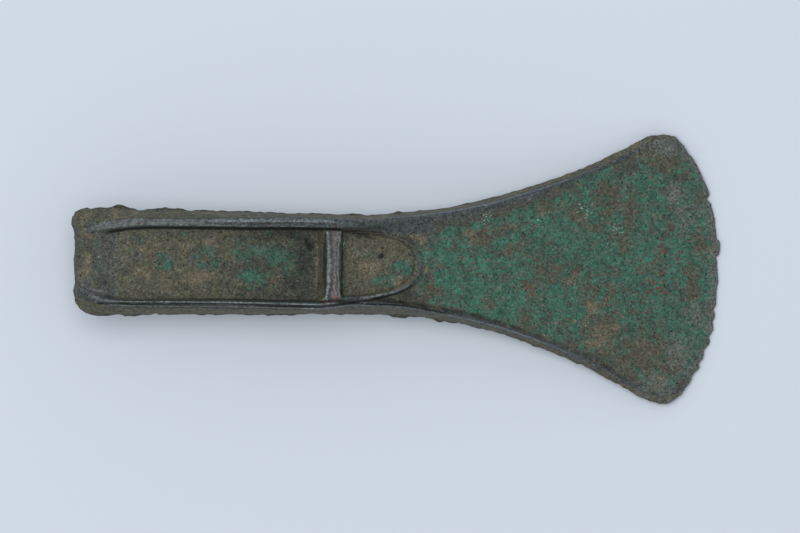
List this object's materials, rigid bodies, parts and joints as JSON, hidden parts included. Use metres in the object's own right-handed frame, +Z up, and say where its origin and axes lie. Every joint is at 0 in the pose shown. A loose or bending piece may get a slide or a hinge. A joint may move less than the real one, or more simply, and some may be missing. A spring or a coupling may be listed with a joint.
{
  "type": "bronze axe head",
  "caption": "Cast bronze palstave axe head with flanges, a haft slot on each face, a stop ridge, a shield-shaped recess and a splayed blade, lying flat.",
  "frame": {"origin": "the middle of the footprint, on the surface that the axe head lies on", "axes": "+X along the axe from the butt to the cutting edge, +Y across the blade, +Z up out of the face that lies uppermost"},
  "size_m": [0.1644, 0.0688, 0.0271],
  "materials": {
    "bronze": "dull green and brown patina over cast tin bronze, worn slate grey on the flange crests"
  },
  "bodies": {
    "root": {"axe_head": "bronze"}
  },
  "joints": []
}
